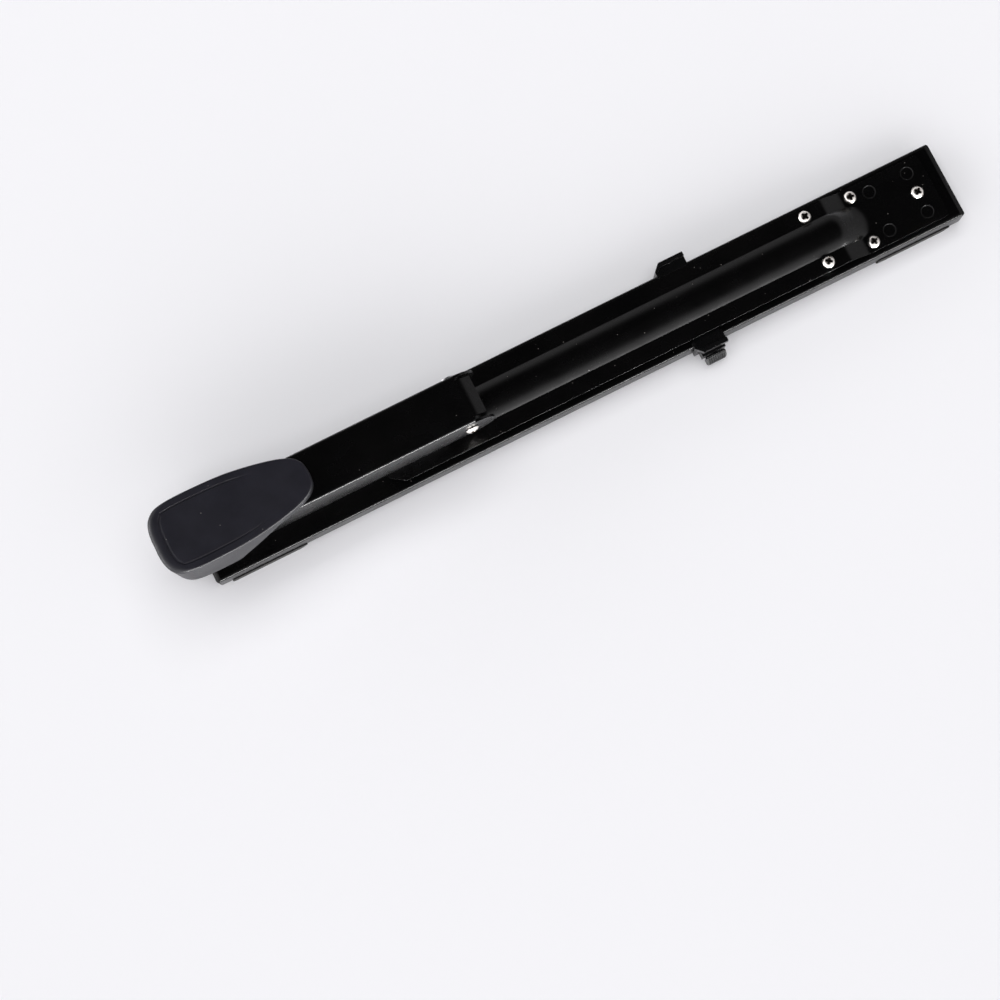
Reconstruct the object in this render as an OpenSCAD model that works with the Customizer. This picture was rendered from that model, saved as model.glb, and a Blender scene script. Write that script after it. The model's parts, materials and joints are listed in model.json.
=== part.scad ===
// Long reach stapler. Units: millimetres.
// Frame: +X runs from the stapling head to the rear, +Z is up, the near side is -Y.
// The origin is on the table, under the middle of the base.

/* [Base] */
// Length of the pressed base channel
base_len = 382; // [300:1:460]
// Width of the base channel
base_w = 37.5; // [30:0.5:48]
// Height of the base top above the table
base_top = 15; // [10:0.5:22]
// Gap under the sole, taken up by the pads
pad_t = 1; // [0.6:0.2:3]
// Height of the channel walls' lower edge above the table
wall_low = 3.4; // [1:0.2:6]
// Thickness of the base sheet
base_t = 1.2; // [0.8:0.1:2]

/* [Arm] */
// Width of the arm
arm_w = 32; // [24:0.5:40]
// Thickness of the arm sheet
arm_t = 1; // [0.8:0.1:2]
// Height of the paper throat between base and arm
throat_h = 6; // [4:0.5:12]
// Height of the arm's rib above its flanges
rib_h = 3.2; // [2:0.1:6]
// Half width of the rib at its foot
rib_half = 8.4; // [5:0.1:11]
// Distance from the rear end to the rear edge of the arm
arm_rear_gap = 7.3; // [2:0.1:15]

/* [Head] */
// Distance from the rear end of the base to the head's pin
pin_back = 249.2; // [180:0.2:320]
// Height of the head's pin above the table
pin_z = 44; // [34:0.5:50]
// Radius of the head's pin
pin_r = 2; // [1.5:0.1:3]
// Running clearance round the pin
pin_play = 0.05; // [0.02:0.01:0.1]
// Height of the magazine's underside at rest
mag_z = 23; // [20:0.5:28]
// Width of the magazine channel
mag_w = 15.4; // [14.5:0.1:17]
// Width of the lever channel
lever_w = 23; // [20:0.5:28]
// Height of the lever's top
lever_top = 55.5; // [48:0.5:64]
// Height of the lever wall's lower edge
lever_low = 33; // [28:0.5:40]
// Thickness of the lever sheet
lever_t = 1.2; // [0.8:0.1:2]

/* [Grip] */
// Height of the grip cap's top
grip_top = 62; // [58:0.5:70]
// Height of the grip skirt's lower edge
grip_low = 32.5; // [30:0.5:40]
// Scale of the grip cap's outline across the lever
grip_fat = 1; // [0.8:0.02:1.3]

/* [Paper stop] */
// Position of the paper stop's front face along the base
stop_x = 50; // [-60:1:95]
// Length of the paper stop along the base
stop_len = 15.5; // [10:0.5:25]
// Height of the stop's ears
stop_z = 19; // [17:0.5:28]

/* [Fasteners] */
// Head radius of the pan screws
screw_head_r = 3; // [2:0.1:4]
// Shank radius of the pan screws
screw_r = 1.5; // [1:0.1:2]
// Radius of the painted rivet heads
rivet_head_r = 3.2; // [2:0.1:4]

/* [Hidden] */
$fn = 48;
e = 0.01;
x_rear = base_len / 2;
x_front = -base_len / 2;
arm_top = base_top + throat_h + arm_t;
arm_low = base_top + throat_h;
arm_end = x_rear - arm_rear_gap;
plate_top = base_top + arm_t;
pin_x = x_rear - pin_back;
blade_x = pin_x - 119.8;
mag_front = blade_x - 0.7;
mag_back = mag_front + 2.4;
mag_half = mag_w / 2;
mag_in = mag_half - 1;
mag_wall_top = mag_z + 10.5;
lever_half = lever_w / 2;
lever_in = lever_half - lever_t;
lever_nose = x_front - 1;
anvil_x = blade_x + 5;
stop_mid = stop_x + stop_len / 2;
grip_screw_x = [pin_x - 102, pin_x - 80];
// Pan screws: [x, y, z of the face under the head]
screws = [
    [x_rear - 68.7, 11.7, arm_top],
    [x_rear - 68.7, -11.7, arm_top],
    [x_rear - 44.3, 11.7, plate_top],
    [x_rear - 44.3, -11.7, plate_top],
    [x_rear - 15.5, 0, plate_top]
];
// Painted rivets that hold the arm to the base
rivets = [
    [x_rear - 35.3, 10.1],
    [x_rear - 35.3, -10.1],
    [x_rear - 15.7, 10.1],
    [x_rear - 15.7, -10.1]
];
// Rivets through the yoke's floor
yoke_rivet_at = [[pin_x + 1.6, 4.5], [pin_x + 1.6, -4.5], [pin_x - 11.4, 6.2], [pin_x - 11.4, -6.2]];
// Half outline of the grip cap: [x, half width]
grip_side = [
    [-204, 4], [-203.5, 8], [-202.2, 11.4], [-200.1, 13.9], [-197.2, 15.5],
    [-193, 16.2], [-187, 16.5], [-180, 16.5], [-172, 16.3], [-165, 15.9], [-159, 15.2],
    [-152.5, 14.1], [-146, 12.8], [-140.5, 11.4], [-136.7, 10], [-134, 8.5],
    [-132, 6.6], [-130.8, 3.8], [-130.3, 1.2]
];

// Rectangle with rounded corners, from one corner to the other
module rrect(x0, y0, x1, y1, r) {
    translate([x0 + r, y0]) square([x1 - x0 - 2 * r, y1 - y0]);
    translate([x0, y0 + r]) square([x1 - x0, y1 - y0 - 2 * r]);
    for (x = [x0 + r, x1 - r], y = [y0 + r, y1 - r]) translate([x, y]) circle(r);
}

// Block from one corner to the other
module block(a, b) {
    translate(a) cube([b[0] - a[0], b[1] - a[1], b[2] - a[2]]);
}

// Prism along Y of an outline drawn in X and Z
module side_prism(y0, y1) {
    translate([0, y1, 0]) rotate([90, 0, 0]) linear_extrude(height = y1 - y0) children();
}

// Prism along X of an outline drawn in Y and Z
module end_prism(x0, x1) {
    translate([x0, 0, 0]) rotate([90, 0, 90]) linear_extrude(height = x1 - x0) children();
}

// Round bar along Y
module ybar(x, z, r, y0, y1) {
    translate([x, y1, z]) rotate([90, 0, 0]) cylinder(r = r, h = y1 - y0);
}

// Round bar along X
module xbar(y, z, r, x0, x1) {
    translate([x0, y, z]) rotate([0, 90, 0]) cylinder(r = r, h = x1 - x0);
}

// Coil spring along Z from 0 to h, with closed ends
module coil(r_mid, r_wire, h, turns) {
    steps = turns * 12;
    function lift(i) = r_wire + (h - 2 * r_wire) * i / steps;
    for (i = [0 : steps - 1]) hull() {
        rotate([0, 0, i * 30]) translate([r_mid, 0, lift(i)]) sphere(r = r_wire, $fn = 6);
        rotate([0, 0, i * 30 + 30]) translate([r_mid, 0, lift(i + 1)]) sphere(r = r_wire, $fn = 6);
    }
    for (z = [0.4 * r_wire, h - 1.6 * r_wire]) translate([0, 0, z]) difference() {
        cylinder(r = r_mid + r_wire, h = 1.2 * r_wire, $fn = 24);
        translate([0, 0, -1]) cylinder(r = r_mid - r_wire, h = 4, $fn = 24);
    }
}

// Cross-recess pan screw, head underside at z = 0, shank going down
module pan_screw(head_r, shank_r, head_h, len) {
    difference() {
        union() {
            cylinder(r = head_r, h = head_h * 0.55);
            translate([0, 0, head_h * 0.55]) cylinder(r1 = head_r, r2 = head_r * 0.62, h = head_h * 0.45);
            translate([0, 0, -len]) cylinder(r = shank_r, h = len + e);
        }
        for (a = [0, 90]) rotate([0, 0, a])
            translate([-head_r * 0.6, -head_r * 0.14, head_h * 0.3])
                cube([head_r * 1.2, head_r * 0.28, head_h]);
    }
}

module base_solid(inset, top, low) {
    intersection() {
        end_prism(x_front + inset, x_rear - inset)
            rrect(-base_w / 2 + inset, low - 6, base_w / 2 - inset, top, 1.4 - inset * 0.8);
        translate([0, 0, low]) linear_extrude(height = top - low + 1)
            rrect(x_front + inset, -base_w / 2 + inset, x_rear - inset, base_w / 2 - inset,
                1.4 - inset * 0.6);
        side_prism(-base_w, base_w) polygon([
            [x_front + inset, low - 1], [x_front + inset, top - 1.5], [x_front + inset + 2.4, top],
            [x_rear - inset - 2.4, top], [x_rear - inset, top - 1.5], [x_rear - inset, low - 1]
        ]);
    }
}

module base_shell() color([0.03, 0.03, 0.035]) {
    difference() {
        base_solid(0, base_top, wall_low);
        base_solid(base_t, base_top - base_t, wall_low - 4);
        for (s = screws) translate([s[0], s[1], 0]) cylinder(r = screw_r + 0.3, h = 40);
        for (s = rivets) translate([s[0], s[1], 0]) cylinder(r = 2, h = 40);
        translate([anvil_x, 0, 0]) cylinder(r = 2.5 + pin_play, h = 40);
        translate([0, 0, 5]) linear_extrude(height = 20)
            rrect(stop_mid - 123, -2.2, stop_mid + 48, 2.2, 2.15);
    }
}

module sole_plate() color([0.05, 0.05, 0.055]) {
    difference() {
        block([x_front + 1.6, -base_w / 2 + 1.5, pad_t], [x_rear - 1.6, base_w / 2 - 1.5, pad_t + 7]);
        block([x_front + 3, -base_w / 2 + 2.9, pad_t + 1.6], [x_rear - 3, base_w / 2 - 2.9, pad_t + 9]);
    }
    for (x = [-150 : 50 : 150])
        block([x - 0.6, -base_w / 2 + 2, pad_t + 1], [x + 0.6, base_w / 2 - 2, pad_t + 4]);
}

module mid_pad() color([0.04, 0.04, 0.04]) {
    linear_extrude(height = pad_t) rrect(-30, -14, 30, 14, 4);
}

module end_foot(x0, x1) {
    foot_out = 0.45;
    linear_extrude(height = pad_t) rrect(x0, -base_w / 2 + 0.4, x1, base_w / 2 - 0.4, 3);
    for (s = [-1, 1]) side_prism(min(s * (base_w / 2 + foot_out), s * (base_w / 2 - 0.6)),
        max(s * (base_w / 2 + foot_out), s * (base_w / 2 - 0.6)))
        polygon([[x0 + 3, 0], [x1 - 5, 0], [x1 - 3, pad_t - e], [x0 + 1, pad_t - e]]);
    for (s = [-1, 1]) side_prism(min(s * (base_w / 2 + foot_out), s * (base_w / 2 + 0.02)),
        max(s * (base_w / 2 + foot_out), s * (base_w / 2 + 0.02)))
        polygon([[x0 + 3, 0], [x1 - 5, 0], [x1 - 1, 3.4], [x1 - 3, 5], [x0 + 2, 5], [x0 + 1, 3]]);
}

module rear_foot() color([0.04, 0.04, 0.04]) end_foot(x_rear - 45, x_rear - 5);

module front_foot() color([0.04, 0.04, 0.04]) end_foot(x_front + 5, x_front + 45);

module anvil_plate() color([0.72, 0.72, 0.7]) {
    difference() {
        translate([0, 0, base_top + 0.3]) linear_extrude(height = 1.2)
            rrect(anvil_x - 10, -10, anvil_x + 10, 10, 3);
        for (dx = [-5, 5], s = [-1, 1])
            translate([anvil_x + dx - 0.9, s * (dx < 0 ? 4.6 : 6.8), base_top + 3.1])
                rotate([0, 90, 0]) cylinder(r = 2.1, h = 1.8);
    }
    translate([anvil_x, 0, base_top - 6.2]) cylinder(r = 2.5, h = 6.6);
}

module anvil_clip() color([0.6, 0.6, 0.6]) {
    translate([anvil_x, 0, base_top - 6]) difference() {
        cylinder(r = 5, h = 0.8);
        translate([0, 0, -1]) cylinder(r = 2.5, h = 3);
    }
}

module anvil_spring() color([0.7, 0.7, 0.7])
    translate([anvil_x, 0, base_top - 5.15]) coil(3.6, 0.35, 3.7, 3);

// Sheet of the arm seen from the side, flange, joggle and rear plate
module arm_side(drop) {
    polygon([
        [pin_x - 42.4, arm_top - drop], [x_rear - 59, arm_top - drop], [x_rear - 48.5, plate_top - drop],
        [arm_end, plate_top - drop], [arm_end, plate_top - drop - 30], [pin_x - 42.4, plate_top - drop - 30]
    ]);
}

// Rib solid, an arch over the flanges, drawn in by d
module rib_solid(d) {
    foot = rib_half - d * 0.6;
    arch_r = (rib_half * rib_half + rib_h * rib_h) / (2 * rib_h);
    intersection() {
        end_prism(pin_x + 6, x_rear - 41) {
            intersection() {
                translate([0, arm_top + rib_h - arch_r]) circle(arch_r - d, $fn = 96);
                translate([-foot, arm_top - d - e]) square([2 * foot, rib_h + 1]);
            }
            translate([-foot, base_top - 3]) square([2 * foot, arm_top - d - base_top + 3]);
        }
        side_prism(-20, 20) polygon([
            [pin_x + 6.4 + d, base_top - 3], [pin_x + 6.4 + d, arm_top - d],
            [pin_x + 11 + d, arm_top + rib_h + 1 - d], [x_rear - 58, arm_top + rib_h + 1 - d],
            [x_rear - 56.5, arm_top + rib_h - 0.4 - d], [x_rear - 44.5 - d, plate_top + 0.9 - d],
            [x_rear - 42 - d, plate_top - d], [x_rear - 42 - d, base_top - 3]
        ]);
    }
}

module arm_beam() color([0.03, 0.03, 0.035]) {
    difference() {
        union() {
            intersection() {
                difference() {
                    side_prism(-arm_w / 2, arm_w / 2) arm_side(0);
                    side_prism(-arm_w, arm_w) arm_side(arm_t);
                }
                union() {
                    linear_extrude(height = 60) rrect(0, -arm_w / 2, arm_end, arm_w / 2, 2);
                    linear_extrude(height = 60) polygon([
                        [5, -arm_w / 2], [5, arm_w / 2], [pin_x - 35.6, arm_w / 2], [pin_x - 42.4, 11.2],
                        [pin_x - 42.4, -11.2], [pin_x - 35.6, -arm_w / 2]
                    ]);
                }
            }
            intersection() {
                rib_solid(0);
                side_prism(-30, 30) polygon([
                    [-200, arm_low], [x_rear - 59, arm_low], [x_rear - 48.5, base_top],
                    [200, base_top], [200, 60], [-200, 60]
                ]);
            }
        }
        rib_solid(arm_t);
        block([pin_x - 60, -8.6, 10], [pin_x - 13.4, 8.6, 40]);
        for (s = screws) translate([s[0], s[1], 0]) cylinder(r = screw_r + 0.3, h = 60);
        for (s = rivets) translate([s[0], s[1], 0]) cylinder(r = 2, h = 60);
        for (s = yoke_rivet_at) translate([s[0], s[1], 0]) cylinder(r = 1.5, h = 60);
    }
}

module arm_spacers() color([0.65, 0.65, 0.65]) {
    for (i = [0, 1]) translate([screws[i][0], screws[i][1], base_top]) difference() {
        cylinder(r = 3.5, h = throat_h);
        translate([0, 0, -1]) cylinder(r = screw_r + 0.3, h = throat_h + 2);
    }
}

module arm_screws() color([0.8, 0.78, 0.74]) {
    for (s = screws) translate(s) rotate([0, 0, s[0] * 7])
        pan_screw(screw_head_r, screw_r, 1.9, s[2] - base_top + 5);
}

module arm_nuts() color([0.6, 0.6, 0.6]) {
    for (s = screws) translate([s[0], s[1], base_top - base_t - 2.2]) difference() {
        cylinder(r = 3, h = 2.2, $fn = 6);
        translate([0, 0, -1]) cylinder(r = screw_r + 0.05, h = 5);
    }
}

module arm_rivets() color([0.03, 0.03, 0.035]) {
    for (s = rivets) translate([s[0], s[1], plate_top]) {
        difference() {
            cylinder(r = rivet_head_r, h = 0.5);
            translate([0, 0, 0.25]) cylinder(r = rivet_head_r - 0.7, h = 2);
        }
        translate([0, 0, -arm_t - base_t - 0.1]) cylinder(r = 1.95, h = arm_t + base_t + 0.15);
        translate([0, 0, -arm_t - base_t - 0.8]) cylinder(r = 3, h = 0.8);
    }
}

module pivot_yoke() color([0.03, 0.03, 0.035]) {
    difference() {
        union() {
            block([pin_x - 13.4, -9.3, arm_top], [pin_x + 4.6, 9.3, arm_top + 1.2]);
            for (s = [-1, 1]) side_prism(min(s * 8.1, s * 9.3), max(s * 8.1, s * 9.3)) union() {
                polygon([
                    [pin_x - 13.4, arm_top], [pin_x + 4.6, arm_top], [pin_x + 5.8, pin_z - 2],
                    [pin_x + 5.8, pin_z + 1], [pin_x - 5.8, pin_z + 1]
                ]);
                translate([pin_x, pin_z]) circle(6);
            }
        }
        ybar(pin_x, pin_z, pin_r, -12, 12);
        for (s = yoke_rivet_at) translate([s[0], s[1], 0]) cylinder(r = 1.5, h = arm_top + 3);
    }
}

module yoke_rivets() color([0.6, 0.6, 0.6]) {
    for (s = yoke_rivet_at) translate([s[0], s[1], arm_low]) {
        translate([0, 0, -0.5]) cylinder(r = 2.2, h = 0.5);
        cylinder(r = 1.5, h = arm_t + 1.2);
        translate([0, 0, arm_t + 1.2]) cylinder(r = s[0] < pin_x ? 1.7 : 2.2, h = 0.7);
    }
}

module pivot_pin() color([0.8, 0.78, 0.74]) {
    translate([pin_x, -lever_half - 0.3, pin_z]) rotate([90, 0, 0])
        pan_screw(3.1, pin_r, 1.7, 2 * lever_half + 2.4);
}

module pivot_nut() color([0.7, 0.68, 0.65]) {
    difference() {
        ybar(pin_x, pin_z, 3.4, lever_half + 0.3, lever_half + 1.9);
        ybar(pin_x, pin_z, pin_r, 0, 30);
    }
}

module pivot_washers() color([0.7, 0.7, 0.7]) {
    for (s = [-1, 1]) difference() {
        ybar(pin_x, pin_z, 4.4, min(s * 9.32, s * 9.9), max(s * 9.32, s * 9.9));
        ybar(pin_x, pin_z, pin_r + 0.02, -20, 20);
    }
}

module lift_spring() color([0.7, 0.7, 0.7])
    translate([pin_x - 6.4, 0, arm_top + 1.2]) coil(3.5, 0.45, pin_z - 9.6 - arm_top - 1.2, 5);

module magazine_shell() color([0.66, 0.66, 0.68]) {
    difference() {
        union() {
            block([mag_back, -mag_half, mag_z], [pin_x - 15.4, mag_half, mag_z + 1]);
            for (s = [-1, 1])
                side_prism(min(s * mag_in, s * mag_half), max(s * mag_in, s * mag_half)) union() {
                polygon([
                    [mag_front - 0.3, mag_z], [pin_x - 15.4, mag_z], [pin_x - 10.4, mag_z + 5],
                    [pin_x + 0.6, pin_z - 8], [pin_x + 5.6, pin_z - 3], [pin_x - 1.6, pin_z + 6],
                    [pin_x - 4, pin_z + 4.8], [pin_x - 17.4, mag_wall_top], [mag_front - 0.3, mag_wall_top]
                ]);
                translate([pin_x, pin_z]) circle(6.2);
            }
            block([pin_x - 10.9, -mag_in - 0.5, pin_z - 9.5], [pin_x - 2.9, mag_in + 0.5, pin_z - 8.5]);
        }
        ybar(pin_x, pin_z, pin_r + pin_play, -12, 12);
        for (x = [pin_x - 108, pin_x - 60]) translate([x, 0, 0]) linear_extrude(height = mag_z + 2)
            rrect(-6, -1.6, 6, 1.6, 1.55);
    }
}

module staple_rail() color([0.6, 0.6, 0.62]) {
    x0 = mag_back;
    x1 = pin_x - 17.4;
    difference() {
        block([x0, -5.5, mag_z + 1], [x1, 5.5, mag_z + 6.6]);
        block([x0 + 1, -4.7, mag_z], [x1 - 1, 4.7, mag_z + 5.8]);
        block([pin_x - 66.5, -1.2, mag_z + 5], [x1 - 3, 1.2, mag_z + 8]);
        xbar(0, mag_z + 3.5, 1, x0 - 1, x1 + 1);
    }
}

module front_guide() color([0.7, 0.7, 0.7]) {
    difference() {
        union() {
            block([mag_front - 2, -mag_half - 1, mag_z], [mag_front - 0.3, mag_half + 1, mag_wall_top]);
            for (s = [-1, 1]) block(
                [mag_front - 2, min(s * mag_half, s * (mag_half + 1)), mag_z],
                [mag_front + 9, max(s * mag_half, s * (mag_half + 1)), mag_wall_top - 2]);
        }
        translate([mag_front - 3, 0, mag_wall_top + 2]) rotate([0, 90, 0]) cylinder(r = 5, h = 6);
    }
}

module staple_strip() color([0.75, 0.75, 0.77]) {
    x0 = mag_back + 0.1;
    x1 = pin_x - 69;
    z0 = mag_z + 1.1;
    difference() {
        block([x0, -6.4, z0], [x1, 6.4, mag_z + 7.3]);
        block([x0 - 1, -5.7, z0 - 1], [x1 + 1, 5.7, mag_z + 6.7]);
    }
}

module pusher() color([0.55, 0.55, 0.56]) {
    x0 = pin_x - 68.7;
    x1 = pin_x - 56.4;
    difference() {
        union() {
            block([x0, -6.4, mag_z + 2], [x1, 6.4, mag_z + 8.2]);
        }
        block([x0 - 1, -5.8, mag_z], [x1 + 1, 5.8, mag_z + 6.9]);
        block([x0 + 4, -3, mag_z + 7.6], [x1 - 3, 3, mag_z + 9]);
    }
    block([x0 + 5, -0.8, mag_z + 5], [x1, 0.8, mag_z + 7.2]);
    difference() {
        block([x0 + 5, -3, mag_z + 1.9], [x1, 3, mag_z + 5.2]);
        xbar(0, mag_z + 3.5, 1 + pin_play, x0, x1 + 1);
    }
}

module pusher_rod() color([0.75, 0.75, 0.75])
    xbar(0, mag_z + 3.5, 1, mag_back + 0.1, pin_x - 17.5);

module pusher_spring() color([0.75, 0.75, 0.75])
    translate([pin_x - 56.3, 0, mag_z + 3.5]) rotate([0, 90, 0]) coil(1.75, 0.28, 37.8, 14);

module lifter_arm() color([0.6, 0.6, 0.62]) {
    top = pin_z + 4.6;
    difference() {
        union() {
            for (s = [-1, 1]) side_prism(min(s * 5.6, s * 6.4), max(s * 5.6, s * 6.4)) union() {
                translate([pin_x, pin_z]) circle(4.2);
                polygon([[pin_x - 4, pin_z + 0.5], [pin_x + 2.6, pin_z + 3], [pin_x + 1, top],
                    [pin_x - 24, top], [pin_x - 20, pin_z + 1.6]]);
            }
            block([pin_x - 26, -6.4, top - 0.8], [pin_x + 1, 6.4, top]);
            side_prism(-4.5, 4.5) polygon([
                [pin_x - 25, top], [pin_x - 27.4, top], [pin_x - 79.4, mag_wall_top + 1.6],
                [pin_x - 81, mag_wall_top + 1.1], [pin_x - 81, mag_wall_top + 0.3],
                [pin_x - 79.2, mag_wall_top + 0.8], [pin_x - 27, top - 0.8], [pin_x - 25, top - 0.8]
            ]);
            block([pin_x - 87.4, -7.6, mag_wall_top + 0.3], [pin_x - 80.5, 7.6, mag_wall_top + 1.1]);
        }
        ybar(pin_x, pin_z, pin_r + pin_play, -12, 12);
    }
}

module lever_spring() color([0.7, 0.7, 0.7])
    translate([pin_x - 17.4, 0, pin_z + 4.6]) coil(3.5, 0.45, lever_top - lever_t - 0.1 - pin_z - 4.6, 4);

module lever_profile(grow) {
    end_prism(lever_nose - grow, pin_x + 20)
        rrect(-lever_half + grow, 10, lever_half - grow, lever_top - grow, grow > 0 ? 0.3 : 1.4);
}

module lever_shell() color([0.03, 0.03, 0.035]) {
    difference() {
        intersection() {
            difference() {
                lever_profile(0);
                lever_profile(lever_t);
            }
            side_prism(-30, 30) union() {
                polygon([
                    [lever_nose, lever_low], [-176, lever_low], [-172, lever_low - 2.4],
                    [pin_x + 1.1, lever_low], [pin_x + 1.1, lever_top - 1.6], [pin_x + 2.2, lever_top - 1.6],
                    [pin_x + 2.2, lever_top + 1], [lever_nose, lever_top + 1]
                ]);
                translate([pin_x + 1.1, lever_low + 10.5]) circle(10.5);
            }
            union() {
                block([-300, -30, 0], [pin_x + 2.2, 30, 80]);
                for (s = [-1, 1])
                    block([pin_x, min(s * lever_in, s * 30), 0],
                        [pin_x + 30, max(s * lever_in, s * 30), 53.9]);
            }
        }
        ybar(pin_x, pin_z, pin_r + pin_play, -20, 20);
        for (x = grip_screw_x) translate([x, 0, lever_top - 5]) cylinder(r = 1.7, h = 20);
        for (s = [-1, 1]) translate([blade_x + 6, s * 3.6, lever_top - 5]) cylinder(r = 1.3, h = 20);
    }
    outer = [for (a = [0 : 6 : 36]) [pin_x + 2 + 6 * sin(a), lever_top - 6 * (1 - cos(a))]];
    inner = [for (a = [36 : -6 : 0]) [pin_x + 2 + 4.8 * sin(a), lever_top - 6 + 4.8 * cos(a)]];
    side_prism(-8.8, 8.8)
        polygon(concat(outer, [[pin_x + 8.8, lever_top - 3.6], [pin_x + 8.1, lever_top - 4.57]], inner));
}

module driver_blade() color([0.7, 0.7, 0.72]) {
    block([blade_x - 0.35, -6.3, mag_z + 7.6], [blade_x + 0.35, 6.3, lever_top - lever_t - 0.1]);
    difference() {
        block([blade_x - 0.35, -6.3, lever_top - lever_t - 1.2], [blade_x + 10, 6.3, lever_top - lever_t]);
        for (s = [-1, 1]) translate([blade_x + 6, s * 3.6, 0]) cylinder(r = 1.3, h = 90);
    }
}

module driver_rivets() color([0.7, 0.7, 0.7]) {
    for (s = [-1, 1]) translate([blade_x + 6, s * 3.6, lever_top - lever_t - 1.2]) {
        cylinder(r = 1.3, h = 1.2 + lever_t);
        translate([0, 0, -0.7]) cylinder(r = 2.2, h = 0.7);
        translate([0, 0, 1.2 + lever_t]) cylinder(r = 2.2, h = 0.7);
    }
}

// Plan outline of the grip cap, drawn in by d
module grip_plan(d) {
    n = len(grip_side);
    function back(x) = x > -160 ? -d * (x + 160) / 29 : 0;
    function px(p) = p[0] + (p[0] < -190 ? 1.5 * d * (-190 - p[0]) / 14 : back(p[0]));
    right = [for (i = [0 : n - 1]) [px(grip_side[i]), max(0.5, grip_side[i][1] * grip_fat - d)]];
    left = [for (i = [n - 1 : -1 : 0]) [px(grip_side[i]), -max(0.5, grip_side[i][1] * grip_fat - d)]];
    polygon(concat(right, left));
}

module grip_cap() color([0.11, 0.11, 0.125]) {
    difference() {
        intersection() {
            union() {
                translate([0, 0, grip_low]) linear_extrude(height = grip_top - 2.6 - grip_low) grip_plan(0);
                translate([0, 0, grip_top - 2.6]) linear_extrude(height = 1.4) grip_plan(0.5);
                translate([0, 0, grip_top - 1.2]) linear_extrude(height = 0.8) grip_plan(1.3);
                translate([0, 0, grip_top - 0.4]) linear_extrude(height = 0.4) grip_plan(2.4);
            }
            side_prism(-30, 30) polygon([
                [-206, grip_low], [-174.6, grip_low], [-172.4, grip_low + 2.8], [-168, grip_low + 9.4],
                [-164, grip_low + 14], [-158, grip_low + 19], [-151, lever_top + 0.1],
                [-125, lever_top + 0.1], [-125, 70], [-206, 70]
            ]);
        }
        intersection() {
            translate([0, 0, 20]) linear_extrude(height = grip_top - 2.2 - 20) grip_plan(2);
            block([-210, -30, 0], [-150, 30, 80]);
        }
        translate([0, 0, grip_top - 0.5]) linear_extrude(height = 2) difference() {
            grip_plan(3.4);
            grip_plan(4);
            translate([-152, -20]) square([60, 40]);
        }
        translate([grip_screw_x[1], 0, lever_top - 5]) cylinder(r = 1.3, h = 9);
    }
    translate([grip_screw_x[0], 0, lever_top + 0.1]) difference() {
        cylinder(r = 3.4, h = grip_top - lever_top - 2);
        translate([0, 0, -1]) cylinder(r = 1.3, h = 5.4);
    }
}

module grip_screws() color([0.75, 0.75, 0.75]) {
    for (x = grip_screw_x) translate([x, 0, lever_top - lever_t]) rotate([180, 0, 0])
        pan_screw(2.8, 1.25, 1.5, 5);
}

// One ear of the paper stop: floor, front wall with a chamfered corner, and outer lip
module stop_ear() {
    x0 = stop_x;
    x1 = stop_x + stop_len;
    lip = base_w / 2 + 4.5;
    translate([0, 0, base_top + 0.3]) linear_extrude(height = 1.7)
        polygon([[x0, 16.8], [x0, 20], [x0 + 3.2, lip], [x1, lip], [x1, 16.8]]);
    translate([0, 0, base_top + 0.3]) linear_extrude(height = stop_z - base_top - 0.3) difference() {
        polygon([[x0, 16.8], [x0, 20], [x0 + 3.2, lip], [x1, lip], [x1, 16.8]]);
        polygon([[x0 + 1.2, 10], [x0 + 1.2, 19.4], [x0 + 3.4, lip - 2], [x1 + 1, lip - 2], [x1 + 1, 10]]);
    }
}

module stop_body() color([0.04, 0.04, 0.045]) {
    side = base_w / 2 + 0.35;
    x0 = stop_x;
    x1 = stop_x + stop_len;
    difference() {
        union() {
            block([x0 + 1, -side - 1, base_top + 0.3], [x1 - 1, side + 1, base_top + 2]);
            stop_ear();
            mirror([0, 1, 0]) stop_ear();
            for (s = [-1, 1]) block([x0 + 0.6, min(s * side, s * (side + 1.6)), 4],
                [x1 - 0.6, max(s * side, s * (side + 1.6)), base_top + 2]);
            block([x0 + 3, -side - 4.6, 4.4], [x1 - 0.8, -side - 1.5, 11]);
        }
        translate([stop_mid, 0, 0]) cylinder(r = 1.8, h = 40);
        ybar(stop_mid + 1.2, 7.3, 1.5 + pin_play, -30, -base_w / 2);
        ybar(stop_mid + 1.2, 7.3, 2.6, -side - 3.6, -side - 1);
    }
}

module stop_key() color([0.6, 0.6, 0.6]) {
    translate([stop_mid, 0, 0]) {
        translate([0, 0, base_top - base_t - 1.5]) cylinder(r = 4.2, h = 1.2);
        translate([0, 0, base_top - base_t - 0.4]) cylinder(r = 1.8, h = base_t + 2.4);
        translate([0, 0, base_top + 2]) cylinder(r = 2.6, h = 0.8);
    }
}

module stop_latch() color([0.05, 0.05, 0.055]) {
    side = base_w / 2 + 0.35;
    x = stop_mid + 1.2;
    difference() {
        intersection() {
            translate([0, 0, 4.6]) linear_extrude(height = 5.4)
                rrect(x - 5, -side - 8.5, x + 5, -side - 5, 1);
            end_prism(x - 6, x + 6) polygon([
                [-side - 9, 4], [-side - 8.6, 6.4], [-side - 6.2, 10.1], [-side - 4, 10.1], [-side - 4, 4]
            ]);
        }
        for (i = [-3.5 : 1 : 3.5]) end_prism(x + i * 1.1 - 0.27, x + i * 1.1 + 0.27)
            polygon([
                [-side - 9, 4], [-side - 7.9, 6.4], [-side - 5.7, 9.7], [-side - 5.7, 12], [-side - 9.4, 12]
            ]);
    }
    ybar(x, 7.3, 1.5, -side - 6, -side + 0.05);
    ybar(x, 7.3, 2.3, -side - 2, -side - 1.1);
}

module latch_spring() color([0.7, 0.7, 0.7])
    translate([stop_mid + 1.2, -base_w / 2 - 2.4, 7.3]) rotate([90, 0, 0]) coil(1.95, 0.22, 1.5, 3);

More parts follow.
